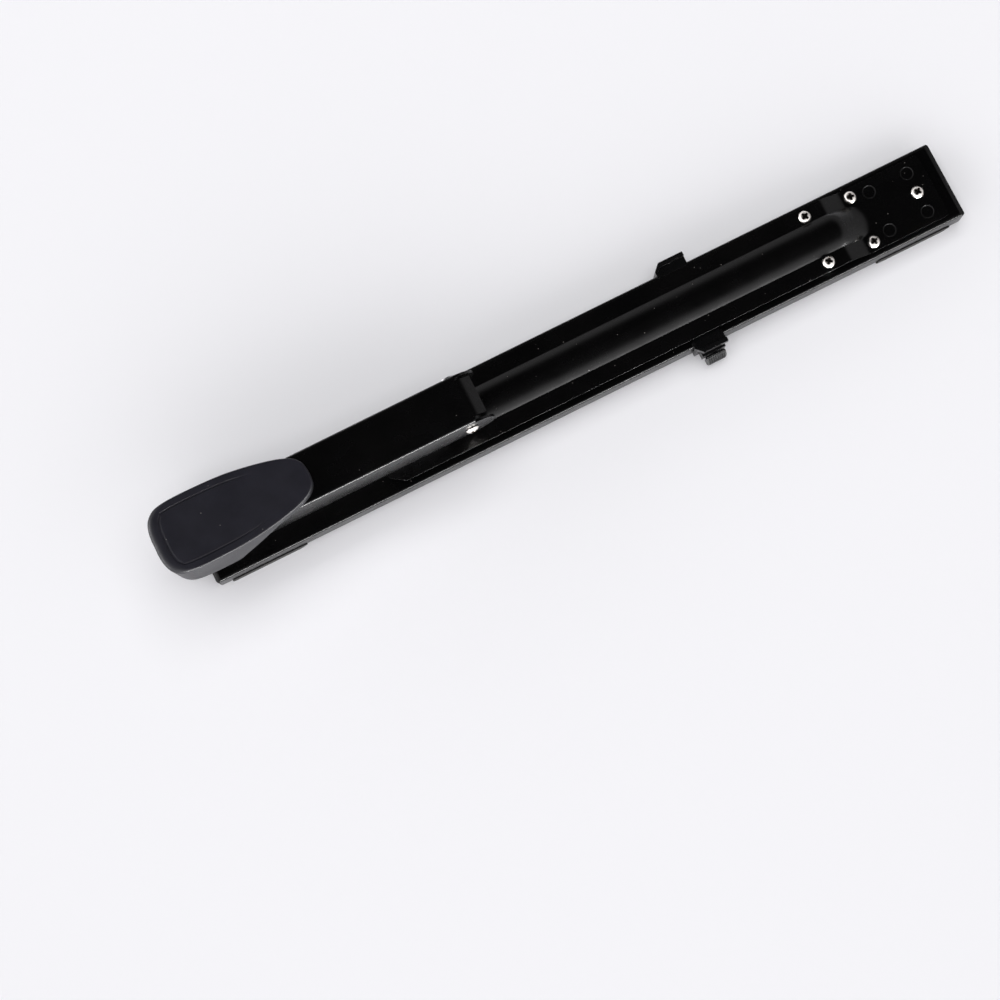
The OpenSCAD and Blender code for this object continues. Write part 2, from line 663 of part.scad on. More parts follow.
base_shell();
sole_plate();
mid_pad();
front_foot();
rear_foot();
anvil_plate();
anvil_clip();
anvil_spring();
arm_beam();
arm_spacers();
arm_screws();
arm_nuts();
arm_rivets();
pivot_yoke();
yoke_rivets();
pivot_pin();
pivot_nut();
pivot_washers();
lift_spring();
magazine_shell();
staple_rail();
front_guide();
staple_strip();
pusher();
pusher_rod();
pusher_spring();
lifter_arm();
lever_spring();
lever_shell();
driver_blade();
driver_rivets();
grip_cap();
grip_screws();
stop_body();
stop_key();
stop_latch();
latch_spring();
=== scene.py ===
"""Looks of the long reach stapler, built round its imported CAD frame. Units: metres, MM = one millimetre."""
import json
import math

import bmesh
import bpy
from mathutils import Matrix, Vector


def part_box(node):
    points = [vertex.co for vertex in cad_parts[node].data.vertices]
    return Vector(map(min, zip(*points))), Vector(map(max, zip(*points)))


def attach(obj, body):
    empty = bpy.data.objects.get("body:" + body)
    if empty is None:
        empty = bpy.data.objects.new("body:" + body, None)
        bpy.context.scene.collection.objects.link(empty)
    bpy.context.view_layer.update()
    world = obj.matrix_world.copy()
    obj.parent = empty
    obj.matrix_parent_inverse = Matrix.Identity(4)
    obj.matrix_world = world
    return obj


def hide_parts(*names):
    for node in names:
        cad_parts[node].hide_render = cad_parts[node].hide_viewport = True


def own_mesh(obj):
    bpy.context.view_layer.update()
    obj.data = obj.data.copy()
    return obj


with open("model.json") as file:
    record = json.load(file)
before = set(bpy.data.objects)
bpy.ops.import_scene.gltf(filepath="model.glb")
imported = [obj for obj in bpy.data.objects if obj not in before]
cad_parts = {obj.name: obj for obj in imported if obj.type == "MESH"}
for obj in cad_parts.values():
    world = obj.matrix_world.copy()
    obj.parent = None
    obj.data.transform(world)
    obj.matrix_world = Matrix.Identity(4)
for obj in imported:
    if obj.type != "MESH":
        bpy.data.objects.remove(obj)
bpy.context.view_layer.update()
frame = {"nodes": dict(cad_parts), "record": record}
record = frame["record"]

MM = 0.001
MERGE = 0.004 * MM  # vertices of a CAD mesh closer than this are one
SLOT_OF = {part["node"]: part["material_slot"] for part in record["subparts"]}
BODY_OF = {node: body for body, nodes in record["behaviour"]["bodies"].items() for node in nodes}
JOINT = {joint["name"]: joint for joint in record["behaviour"]["joints"]}
PIN = Vector(JOINT["magazine_pivot"]["pos_m"])


# ---------------------------------------------------------------- materials

class Shader:
    """A Principled material with short calls for its procedural nodes, in object coordinates."""

    def __init__(self, name, color, roughness, metallic=0.0, specular=0.5):
        self.mat = bpy.data.materials.new(name)
        self.mat.use_nodes = True
        self.nodes = self.mat.node_tree.nodes
        self.links = self.mat.node_tree.links
        self.bsdf = self.nodes["Principled BSDF"]
        self.bsdf.inputs["Base Color"].default_value = (*color, 1)
        self.bsdf.inputs["Roughness"].default_value = roughness
        self.bsdf.inputs["Metallic"].default_value = metallic
        self.bsdf.inputs["Specular IOR Level"].default_value = specular
        self.coords = self.nodes.new("ShaderNodeTexCoord").outputs["Object"]

    def add(self, kind, **values):
        node = self.nodes.new(kind)
        for key, value in values.items():
            if key in node.inputs:
                node.inputs[key].default_value = value
            else:
                setattr(node, key, value)
        return node

    def stretched(self, scale):
        mapping = self.add("ShaderNodeMapping")
        mapping.inputs["Scale"].default_value = scale
        self.links.new(self.coords, mapping.inputs["Vector"])
        return mapping.outputs["Vector"]

    def noise(self, scale, detail=3.0, rough=0.5, vector=None):
        node = self.add("ShaderNodeTexNoise", Scale=scale, Detail=detail, Roughness=rough)
        self.links.new(vector or self.coords, node.inputs["Vector"])
        return node.outputs["Fac"]

    def ramp(self, source, low, high, dark, bright):
        """Maps source from low..high to dark..bright, clamped."""
        node = self.add("ShaderNodeMapRange")
        node.inputs["From Min"].default_value = low
        node.inputs["From Max"].default_value = high
        node.inputs["To Min"].default_value = dark
        node.inputs["To Max"].default_value = bright
        self.links.new(source, node.inputs["Value"])
        return node.outputs["Result"]

    def mix(self, factor, first, second):
        node = self.add("ShaderNodeMix", data_type="RGBA")
        for value, socket in ((first, node.inputs[6]), (second, node.inputs[7])):
            if isinstance(value, tuple):
                socket.default_value = (*value, 1)
            else:
                self.links.new(value, socket)
        self.links.new(factor, node.inputs[0])
        return node.outputs[2]

    def math(self, operation, first, second):
        node = self.add("ShaderNodeMath", operation=operation)
        for value, socket in zip((first, second), node.inputs):
            if isinstance(value, (int, float)):
                socket.default_value = value
            else:
                self.links.new(value, socket)
        return node.outputs[0]

    def set(self, name, source):
        self.links.new(source, self.bsdf.inputs[name])

    def bump(self, source, height, strength=1.0):
        node = self.add("ShaderNodeBump", Strength=strength, Distance=height)
        self.links.new(source, node.inputs["Height"])
        previous = self.bsdf.inputs["Normal"]
        if previous.is_linked:
            self.links.new(previous.links[0].from_socket, node.inputs["Normal"])
        self.links.new(node.outputs["Normal"], previous)

    def specks(self, spacing, share, radius):
        """1 on small sparse round specks, 0 elsewhere."""
        cells = self.add("ShaderNodeTexVoronoi", Scale=1 / spacing, feature="F1")
        self.links.new(self.coords, cells.inputs["Vector"])
        near = self.ramp(cells.outputs["Distance"], radius / spacing * 0.6, radius / spacing, 1.0, 0.0)
        picked = self.add("ShaderNodeSeparateColor")
        self.links.new(cells.outputs["Color"], picked.inputs["Color"])
        chosen = self.ramp(picked.outputs["Red"], 1 - share, 1 - share + 0.01, 0.0, 1.0)
        return self.math("MULTIPLY", near, chosen)


def black_enamel(name, specular):
    """Deep black baked enamel over sheet steel, with faint orange peel and a few specks of dust."""
    s = Shader(name, (0.0013, 0.0013, 0.0014), 0.26, specular=specular)
    dust = s.specks(2.3 * MM, 0.1, 0.26 * MM)
    cloud = s.ramp(s.noise(38, 4), 0.3, 0.7, 0.0, 1.0)
    base = s.mix(cloud, (0.0009, 0.0009, 0.0010), (0.0017, 0.0016, 0.0017))
    s.set("Base Color", s.mix(dust, base, (0.15, 0.14, 0.13)))
    s.set("Roughness", s.ramp(s.noise(90, 4), 0.25, 0.75, 0.22, 0.30))
    s.bump(s.noise(700, 2), 0.02 * MM, 0.3)
    s.bump(dust, 0.05 * MM, 0.6)
    return s.mat


def nickel():
    """Bright nickel plating on screws and pin, with fine scuffs, and painted shade in the driver recess."""
    s = Shader("nickel", (0.86, 0.81, 0.76), 0.2, metallic=1.0)
    scuff = s.ramp(s.noise(900, 5, 0.7, s.stretched((1.0, 0.25, 1.0))), 0.35, 0.75, 0.0, 1.0)
    # Painted shade: the driver recess faces are painted dark brown, standing in for the shadow in the hollow.
    recess_shade = s.ramp(s.add("ShaderNodeAttribute", attribute_name="recess").outputs["Fac"], 0.0, 1.0, 0.0, 0.9)
    plated = s.mix(scuff, (0.97, 0.94, 0.90), (0.82, 0.77, 0.72))
    s.set("Base Color", s.mix(recess_shade, plated, (0.10, 0.075, 0.06)))
    s.set("Roughness", s.ramp(scuff, 0.0, 1.0, 0.16, 0.36))
    s.bump(scuff, 0.01 * MM, 0.4)
    return s.mat


def drawn_steel(name, color, rough, grain):
    """Zinc-plated or spring steel with drawing lines along X."""
    s = Shader(name, color, rough, metallic=1.0)
    lines = s.noise(grain, 5, 0.6, s.stretched((0.04, 1.0, 1.0)))
    blotch = s.ramp(s.noise(160, 3), 0.3, 0.7, 0.0, 1.0)
    darker = tuple(c * 0.72 for c in color)
    s.set("Base Color", s.mix(blotch, color, darker))
    s.set("Roughness", s.ramp(lines, 0.3, 0.7, rough - 0.08, rough + 0.12))
    s.bump(lines, 0.012 * MM, 0.5)
    return s.mat


def moulded_plastic(name, color, rough, grain, grain_height, fleck):
    """Moulded plastic with a fine spark-eroded grain and slight handling shine."""
    s = Shader(name, color, rough, specular=0.3)
    grains = s.noise(grain, 2, 0.5)
    rubbed = s.ramp(s.noise(55, 4), 0.3, 0.75, -0.05, 0.07)
    tone = s.ramp(s.noise(120, 3), 0.3, 0.7, 0.0, 1.0)
    lighter = tuple(c * 1.3 for c in color)
    dust = s.specks(2.6 * MM, 0.08, fleck)
    s.set("Base Color", s.mix(dust, s.mix(tone, color, lighter), (0.16, 0.155, 0.15)))
    s.set("Roughness", s.math("ADD", s.ramp(grains, 0.3, 0.7, rough - 0.05, rough + 0.05), rubbed))
    s.bump(grains, grain_height, 0.6)
    return s.mat


def pad_rubber():
    """Dull black rubber with a coarse grain and dust in it."""
    s = Shader("pad_rubber", (0.012, 0.012, 0.012), 0.85, specular=0.3)
    grains = s.noise(1500, 3, 0.6)
    dusty = s.ramp(s.noise(210, 5, 0.65), 0.5, 0.8, 0.0, 0.5)
    s.set("Base Color", s.mix(dusty, (0.010, 0.010, 0.010), (0.035, 0.034, 0.032)))
    s.set("Roughness", s.ramp(grains, 0.3, 0.7, 0.75, 0.95))
    s.bump(grains, 0.06 * MM, 0.7)
    return s.mat


MATERIAL = {
    "black_enamel": black_enamel("black_enamel", 0.3),
    "nickel": nickel(),
    "zinc_steel": drawn_steel("zinc_steel", (0.60, 0.60, 0.61), 0.32, 1400),
    "spring_steel": drawn_steel("spring_steel", (0.46, 0.46, 0.47), 0.28, 1900),
    "staple_wire": drawn_steel("staple_wire", (0.70, 0.70, 0.71), 0.22, 2600),
    "grip_plastic": moulded_plastic("grip_plastic", (0.0085, 0.0083, 0.0125), 0.46, 2300,
                                    0.02 * MM, 0.24 * MM),
    "black_plastic": moulded_plastic("black_plastic", (0.0022, 0.0022, 0.0024), 0.3, 1700,
                                     0.012 * MM, 0.2 * MM),
    "sole_plastic": moulded_plastic("sole_plastic", (0.008, 0.008, 0.009), 0.55, 1300, 0.04 * MM, 0.2 * MM),
    "pad_rubber": pad_rubber(),
}
# The base's paint is duller than the arm's and the lever's
BASE_ENAMEL = black_enamel("base_enamel", 0.16)


# ---------------------------------------------------------------- mesh helpers

def shade(mesh, angle=32):
    """Smooth shading with sharp edges above that angle."""
    mesh.shade_smooth()
    mesh.set_sharp_from_angle(angle=math.radians(angle))


def as_piece(name, mesh, *nodes):
    """Puts a mesh in the scene as a piece that stands for those CAD nodes, with their material and body."""
    obj = bpy.data.objects.new(name, mesh)
    bpy.context.scene.collection.objects.link(obj)
    mesh.materials.clear()
    mesh.materials.append(BASE_ENAMEL if nodes[0] == "base_shell" else MATERIAL[SLOT_OF[nodes[0]]])
    shade(mesh)
    normals = obj.modifiers.new("even_normals", "WEIGHTED_NORMAL")
    normals.keep_sharp = True
    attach(obj, BODY_OF[nodes[0]])
    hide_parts(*nodes)
    return obj


def mesh_from(name, verts, faces):
    mesh = bpy.data.meshes.new(name)
    mesh.from_pydata([tuple(v) for v in verts], [], faces)
    mesh.validate()
    return mesh


def closed(name, verts, faces, merge=0.0):
    """A mesh with its faces turned outwards, and vertices closer than merge made one."""
    mesh = mesh_from(name, verts, faces)
    bm = bmesh.new()
    bm.from_mesh(mesh)
    if merge:
        bmesh.ops.remove_doubles(bm, verts=bm.verts, dist=merge)
    bmesh.ops.recalc_face_normals(bm, faces=bm.faces)
    bm.to_mesh(mesh)
    bm.free()
    return mesh


def baked(mesh, *modifiers):
    """The mesh after those modifiers, each (type, {setting: value})."""
    holder = bpy.data.objects.new("holder", mesh)
    bpy.context.scene.collection.objects.link(holder)
    for kind, settings in modifiers:
        modifier = holder.modifiers.new(kind.lower(), kind)
        for key, value in settings.items():
            setattr(modifier, key, value)
    graph = bpy.context.evaluated_depsgraph_get()
    result = bpy.data.meshes.new_from_object(holder.evaluated_get(graph))
    bpy.data.objects.remove(holder)
    return result


def rounded_edges(width, segments=2, angle=35):
    return ("BEVEL", {
        "width": width, "segments": segments, "limit_method": "ANGLE",
        "angle_limit": math.radians(angle), "use_clamp_overlap": True, "profile": 0.6,
    })


def refined(node, width, segments=2):
    """A copy of a CAD node with clean faces and rounded edges."""
    bm = bmesh.new()
    bm.from_mesh(frame["nodes"][node].data)
    bmesh.ops.remove_doubles(bm, verts=bm.verts, dist=MERGE)
    bmesh.ops.dissolve_limit(bm, angle_limit=math.radians(0.6), verts=bm.verts, edges=bm.edges)
    mesh = bpy.data.meshes.new(node + "_finished")
    bm.to_mesh(mesh)
    bm.free()
    return as_piece(node + "_finished", baked(mesh, rounded_edges(width, segments)), node)


def lower_heads(piece, drop):
    """Lowers the rivet heads, because the magazine comes down onto them at the end of its stroke."""
    mesh = bpy.data.objects[piece].data
    top = max(v.co.z for v in mesh.vertices)
    for vert in mesh.vertices:
        if vert.co.z > top - 2 * drop:
            vert.co.z -= drop


def lathe(profile, steps, turn):
    """Verts and faces of a (radius, height) profile spun round Z, then moved by the matrix turn."""
    verts, faces = [], []
    for i in range(steps):
        a = 2 * math.pi * i / steps
        verts += [turn @ Vector((r * math.cos(a), r * math.sin(a), h)) for r, h in profile]
    n = len(profile)
    for i in range(steps):
        j = (i + 1) % steps
        faces += [(i * n + k, j * n + k, j * n + k + 1, i * n + k + 1) for k in range(n - 1)]
    faces.append([i * n + n - 1 for i in range(steps)])
    faces.append([i * n for i in reversed(range(steps))])
    return verts, faces


def tube(points, radius, sides=10):
    """Verts and faces of a round wire along points, with parallel-transported rings."""
    verts, faces = [], []
    up = Vector((0, 0, 1))
    for i, p in enumerate(points):
        ahead = points[min(i + 1, len(points) - 1)] - points[max(i - 1, 0)]
        ahead.normalize()
        side = ahead.cross(up if abs(ahead.dot(up)) < 0.95 else Vector((1, 0, 0))).normalized()
        over = side.cross(ahead)
        for k in range(sides):
            a = 2 * math.pi * k / sides
            verts.append(p + (side * math.cos(a) + over * math.sin(a)) * radius)
    for i in range(len(points) - 1):
        for k in range(sides):
            m = (k + 1) % sides
            faces.append((i * sides + k, i * sides + m, (i + 1) * sides + m, (i + 1) * sides + k))
    faces.append(list(reversed(range(sides))))
    faces.append([(len(points) - 1) * sides + k for k in range(sides)])
    return verts, faces


def eased(x, start, length):
    """0 before start, 1 from start + length on, and an S curve between."""
    u = max(0.0, min(1.0, (x - start) / length))
    return u * u * (3 - 2 * u)


def smooth_ramp(x, start, end, soft):
    """0 before start, 1 after end, straight between, with both corners rounded over soft."""
    def ramp_sum(u):
        if u <= start:
            return 0.0
        if u >= end:
            return (end - start) / 2 + (u - end)
        return (u - start) ** 2 / (2 * (end - start))
    return (ramp_sum(x + soft) - ramp_sum(x - soft)) / (2 * soft)


def spread(*stops):
    """Values from stop to stop: (first, last, count) triples, ends shared."""
    values = []
    for first, last, count in stops:
        values += [first + (last - first) * i / count for i in range(count)]
    return values + [stops[-1][1]]


# ---------------------------------------------------------------- arm

def build_arm():
    """Pressed arm: flanges, rounded rib, joggle down to the rear plate and forked nose."""
    low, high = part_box("arm_beam")
    base_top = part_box("base_shell")[1].z
    arm_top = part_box("arm_spacers")[1].z + 1 * MM
    plate_top = base_top + 1 * MM
    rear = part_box("base_shell")[1].x
    nose, end = low.x, high.x
    half_w = high.y
    slot_end = PIN.x - 13.4 * MM
    slot_half = 8.6 * MM
    rib_h = high.z - arm_top
    rib_half = 8.4 * MM
    arch_r = (rib_half ** 2 + rib_h ** 2) / (2 * rib_h)
    rib_start = PIN.x + 6.4 * MM
    joggle = (rear - 59 * MM, rear - 48.5 * MM)
    rib_drop = (rear - 57 * MM, rear - 43 * MM)

    def flange_z(x):
        return arm_top - (arm_top - plate_top) * smooth_ramp(x, *joggle, 1.4 * MM)

    def rib_z(x):
        start = smooth_ramp(x, rib_start, rib_start + 4.5 * MM, 1.2 * MM)
        drop = smooth_ramp(x, *rib_drop, 2.6 * MM)
        return arm_top + rib_h * start - (arm_top + rib_h - plate_top) * drop

    def section(reach, rise):
        """Height of the rib at that share of its half width: an arch, on near-upright sides if taller."""
        arch = math.sqrt(arch_r ** 2 - (reach * rib_half) ** 2) - (arch_r - rib_h)
        extra = max(0.0, rise - rib_h)
        return arch / rib_h * min(rise, rib_h) + extra * (1 - reach ** 9) ** 0.6

    def edge(x):
        if x < nose + 6.8 * MM:
            return 11.2 * MM + (half_w - 11.2 * MM) * (x - nose) / (6.8 * MM)
        past = x - (end - 2 * MM)
        return half_w if past <= 0 else half_w - 2 * MM + math.sqrt(max(0, (2 * MM) ** 2 - past ** 2))

    def rib_width(x):
        tail = max(0.0, min(1.0, (x - rib_drop[0]) / (rib_drop[1] - rib_drop[0])))
        return rib_half * (1 - 0.2 * tail ** 3)

    xs = spread(
        (nose, nose + 6.8 * MM, 4), (nose + 6.8 * MM, slot_end, 6), (slot_end, rib_start - 2 * MM, 8),
        (rib_start - 2 * MM, rib_start + 7 * MM, 12), (rib_start + 7 * MM, joggle[0] - 3 * MM, 40),
        (joggle[0] - 3 * MM, rib_drop[1] + 4 * MM, 44), (rib_drop[1] + 4 * MM, end - 2 * MM, 12),
        (end - 2 * MM, end, 7))
    foot = rib_half / slot_half
    inner = [-1.0] + [foot * (i - 15) / 15 for i in range(31)] + [1.0]
    outer = [0.02, 0.06, 0.15, 0.4, 0.7, 1.0]
    verts = []
    for x in xs:
        width = rib_width(x)
        rise = max(0.0, rib_z(x) - flange_z(x))
        row = [Vector((x, -(slot_half + (edge(x) - slot_half) * t), flange_z(x))) for t in reversed(outer)]
        for t in inner:
            reach = min(1.0, abs(t) * slot_half / width)
            row.append(Vector((x, t * slot_half, flange_z(x) + section(reach, rise))))
        row += [Vector((x, slot_half + (edge(x) - slot_half) * t, flange_z(x))) for t in outer]
        verts += row
    n = len(outer) * 2 + len(inner)
    first, last = len(outer), len(outer) + len(inner) - 1
    faces = []
    for i in range(len(xs) - 1):
        for k in range(n - 1):
            in_slot = first <= k < last and xs[i + 1] <= slot_end + 1e-7
            if not in_slot:
                faces.append((i * n + k, (i + 1) * n + k, (i + 1) * n + k + 1, i * n + k + 1))
    mesh = baked(
        mesh_from("arm", verts, faces),
        ("SOLIDIFY", {"thickness": 1 * MM, "offset": -1.0, "use_even_offset": True}),
        rounded_edges(0.3 * MM, 3, 50))
    as_piece("arm_pressing", mesh, "arm_beam")


# ---------------------------------------------------------------- grip cap

def spline(points, per_span):
    """Catmull-Rom curve through points."""
    curve = []
    padded = [points[0] * 2 - points[1]] + points + [points[-1] * 2 - points[-2]]
    for i in range(1, len(padded) - 2):
        a, b, c, d = padded[i - 1:i + 3]
        for k in range(per_span):
            t = k / per_span
            curve.append(0.5 * ((2 * b) + (c - a) * t + (2 * a - 5 * b + 4 * c - d) * t ** 2
                                + (3 * b - a - 3 * c + d) * t ** 3))
    return curve + [points[-1]]


def build_grip():
    """Moulded grip cap: teardrop in plan, soft top edge, panel in a groove that fades out to the rear."""
    low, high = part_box("grip_cap")
    front, back, half = low.x, high.x, high.y
    length = back - front
    top = high.z
    lever_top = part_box("lever_shell")[1].z
    # share of the length from the front, share of the half width
    shape = [(0.0, 0.0), (0.0, 0.24), (0.007, 0.48), (0.024, 0.69), (0.053, 0.84), (0.093, 0.94),
             (0.149, 0.982), (0.23, 1.0), (0.325, 1.0), (0.434, 0.988), (0.53, 0.963), (0.61, 0.92),
             (0.70, 0.855), (0.787, 0.775), (0.86, 0.69), (0.913, 0.60), (0.949, 0.51), (0.976, 0.39),
             (0.993, 0.24), (1.0, 0.0)]
    side = spline([Vector((front + u * length, v * half)) for u, v in shape], 4)
    outline = side + [Vector((p.x, -p.y)) for p in reversed(side[1:-1])]
    count = len(outline)

    def drawn_in(distance):
        """The outline moved inwards; the front moves half as much again."""
        moved = []
        for i, p in enumerate(outline):
            along = (outline[(i + 1) % count] - outline[i - 1]).normalized()
            inward = Vector((along.y, -along.x))
            more = 1.0 + 0.5 * inward.x if inward.x > 0.3 else 1.0
            moved.append(p + inward * distance * more)
        return moved

    def skirt(x):
        """Height of the lower edge: level at the front, then sweeping up to the lever's top."""
        u = max(0.0, min(1.0, (x - (front + 29.6 * MM)) / (23.5 * MM)))
        sweep = 0.62 * u ** 0.8 + 0.38 * (1 - (1 - u) ** 1.6) if u else 0.0
        return low.z + (lever_top + 0.15 * MM - low.z) * min(1.0, sweep)

    def panel_depth(x):
        """Depth of the groove round the panel, which fades out to the rear."""
        return 0.5 * MM * (1 - eased(x, front + 38 * MM, 16 * MM))

    def crown(x):
        return top - 0.25 * MM * ((x - front) / length) ** 2

    def soft(x):
        """Radius of the top edge: wide round the front, tight along the sides."""
        return (2.5 - 1.6 * eased(x, front + 3 * MM, 12 * MM)) * MM

    rings = [[Vector((p.x, p.y, skirt(p.x))) for p in outline]]
    for share in (0.25, 0.5, 0.75):
        rings.append([Vector((p.x, p.y, skirt(p.x) + (top - soft(p.x) - skirt(p.x)) * share))
                      for p in outline])
    for step in range(8):
        a = math.radians(90 * step / 7)
        moved = drawn_in(1 - math.cos(a))
        ring = []
        for p, q in zip(outline, moved):
            r = soft(p.x)
            plan = p + (q - p) * r
            ring.append(Vector((plan.x, plan.y, crown(p.x) - r * (1 - math.sin(a)))))
        rings.append(ring)
    # millimetres in from the outline, share of the groove's depth
    groove = ((3.0, 0.0), (3.2, 0.12), (3.45, 0.7), (3.6, 0.96), (3.7, 1.0), (3.8, 0.9), (4.2, 0.2),
              (4.4, 0.12), (5.2, 0.12))
    for distance, depth in groove:
        moved = drawn_in(distance * MM)
        rings.append([Vector((p.x, p.y, crown(p.x) - panel_depth(p.x) * depth)) for p in moved])
    spine_front, spine_back = front + 17 * MM, back - 14 * MM
    last = rings[-1]
    for share in (0.3, 0.6, 0.85, 0.97):
        ring = []
        for p in last:
            middle = Vector((min(max(p.x, spine_front), spine_back), 0, 0))
            x, y = p.x + (middle.x - p.x) * share, p.y * (1 - share)
            ring.append(Vector((x, y, crown(x) - panel_depth(x) * groove[-1][1])))
        rings.append(ring)
    verts = [v for ring in rings for v in ring]
    faces = []
    for r in range(len(rings) - 1):
        for i in range(count):
            j = (i + 1) % count
            faces.append((r * count + i, r * count + j, (r + 1) * count + j, (r + 1) * count + i))
    start = (len(rings) - 1) * count
    half_count = count // 2
    for i in range(half_count):
        a, b = start + i, start + i + 1
        c, d = start + (count - i - 1) % count, start + (count - i) % count
        ring = [a, b, c, d] if d != a else [a, b, c]
        if len(set(ring)) > 2:
            faces.append(list(dict.fromkeys(ring)))
    mesh = baked(
        closed("grip", verts, faces, merge=0.002 * MM),
        ("SOLIDIFY", {"thickness": 1.8 * MM, "offset": -1.0, "use_even_offset": False}),
        rounded_edges(0.3 * MM, 3, 55))
    as_piece("grip_moulding", mesh, "grip_cap")


# ---------------------------------------------------------------- screws, pin, springs, staples

def cross_tip(top, size, depth):
    """The tapered tip of a cross-recess screwdriver, from just above top down to depth below it."""
    verts, faces = [], []
    for level, reach, half in ((top + 0.8, 1.0, 0.28), (top, 1.0, 0.28), (top - depth, 0.5, 0.19)):
        r, w = reach * size, half * size
        plan = [(w, w), (r, w), (r, -w), (w, -w), (w, -r), (-w, -r),
                (-w, -w), (-r, -w), (-r, w), (-w, w), (-w, r), (w, r)]
        verts += [Vector((x, y, level)) for x, y in plan]
    for ring in (0, 12):
        for k in range(12):
            m = (k + 1) % 12
            faces.append((ring + k, ring + m, ring + 12 + m, ring + 12 + k))
    faces.append(tuple(reversed(range(12))))
    faces.append(tuple(24 + k for k in range(12)))
    return closed("cross_tip", verts, faces)


def pan_screw(head_r, head_h, shank_r, length):
    """A cross-recess pan screw in millimetres, with the underside of its domed head at z = 0."""
    brim = 0.3
    rise = head_h - brim
    dome_r = (head_r ** 2 + rise ** 2) / (2 * rise)

    def dome(r):
        return brim + math.sqrt(dome_r ** 2 - r ** 2) - (dome_r - rise)

    profile = [(shank_r * 0.7, -length), (shank_r, -length + 0.5), (shank_r, 0.0),
               (head_r - 0.12, 0.0), (head_r, 0.12)]
    for step in range(12):
        r = head_r * (1 - step / 12.5)
        profile.append((r - 0.04, dome(r)))
    solid = closed("screw", *lathe(profile, 48, Matrix.Identity(4)))
    cutter = bpy.data.objects.new("cutter", cross_tip(head_h, head_r * 0.72, head_h * 0.85))
    bpy.context.scene.collection.objects.link(cutter)
    mesh = baked(solid, ("BOOLEAN", {"object": cutter, "operation": "DIFFERENCE", "solver": "EXACT"}))
    bpy.data.objects.remove(cutter)
    # Marks the driver recess faces, which the nickel paints dark as painted shade.
    for face in mesh.polygons:
        across = face.center.xy.length
        face.material_index = int(across < head_r * 0.78 and 0.05 < face.center.z < dome(across) - 0.1)
    return mesh


def with_recess(mesh):
    """Turns the mark that pan_screw leaves on its recess faces into the attribute the nickel reads for its
    painted shade.
    """
    layer = mesh.attributes.new("recess", "FLOAT", "FACE")
    for face in mesh.polygons:
        layer.data[face.index].value = face.material_index
        face.material_index = 0
    return mesh


def placed(mesh, turn):
    """A millimetre mesh scaled to metres and moved by the matrix turn."""
    mesh.transform(turn @ Matrix.Scale(MM, 4))
    return mesh


def joined(meshes):
    """One mesh of several."""
    bm = bmesh.new()
    for mesh in meshes:
        bm.from_mesh(mesh)
    whole = bpy.data.meshes.new("joined")
    bm.to_mesh(whole)
    bm.free()
    return whole


def islands(node):
    """Boxes (lowest corner, highest corner) of a CAD node's separate solids."""
    bm = bmesh.new()
    bm.from_mesh(frame["nodes"][node].data)
    bmesh.ops.remove_doubles(bm, verts=bm.verts, dist=MERGE)
    seen, boxes = set(), []
    for vert in bm.verts:
        if vert in seen:
            continue
        stack, group = [vert], []
        seen.add(vert)
        while stack:
            v = stack.pop()
            group.append(v.co.copy())
            for edge in v.link_edges:
                other = edge.other_vert(v)
                if other not in seen:
                    seen.add(other)
                    stack.append(other)
        low = Vector([min(p[i] for p in group) for i in range(3)])
        high = Vector([max(p[i] for p in group) for i in range(3)])
        boxes.append((low, high))
    bm.free()
    return boxes


def build_screws():
    """The arm's five screws, each turned its own way, and the pivot pin."""
    head_h = 1.9
    screws = []
    for number, (low, high) in enumerate(islands("arm_screws")):
        middle = (low + high) / 2
        seat = high.z - head_h * MM
        turn = Matrix.Translation((middle.x, middle.y, seat)) @ Matrix.Rotation(0.5 + number * 0.45, 4, "Z")
        screws.append(placed(pan_screw((high.x - low.x) / 2 / MM, head_h, 1.5, (seat - low.z) / MM), turn))
    as_piece("arm_screw_set", with_recess(joined(screws)), "arm_screws")

    low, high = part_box("pivot_pin")
    head_h = 1.7
    turn = Matrix.Translation((PIN.x, low.y + head_h * MM, PIN.z))
    turn = turn @ Matrix.Rotation(math.radians(90), 4, "X") @ Matrix.Rotation(0.4, 4, "Z")
    screw = pan_screw((high.x - low.x) / 2 / MM, head_h, 2, (high.y - low.y) / MM - head_h)
    as_piece("pivot_screw", with_recess(placed(screw, turn)), "pivot_pin")


def build_rivets():
    """Painted rivets of the rear plate: each a thin raised ring round a flat middle."""
    heads = []
    for low, high in islands("arm_rivets"):
        middle = (low + high) / 2
        seat = high.z - 0.5 * MM
        r = (high.x - low.x) / 2 / MM
        profile = [(1.9, (low.z - seat) / MM), (1.9, 0.0), (r, 0.0), (r, 0.2), (r - 0.04, 0.27),
                   (r - 0.1, 0.3), (r - 0.2, 0.29), (r - 0.26, 0.25), (r - 0.38, 0.1), (r - 0.43, 0.06),
                   (r - 0.5, 0.05), (0.4, 0.05)]
        head = closed("rivet", *lathe(profile, 56, Matrix.Identity(4)))
        heads.append(placed(head, Matrix.Translation((middle.x, middle.y, seat))))
    as_piece("painted_rivets", joined(heads), "arm_rivets")


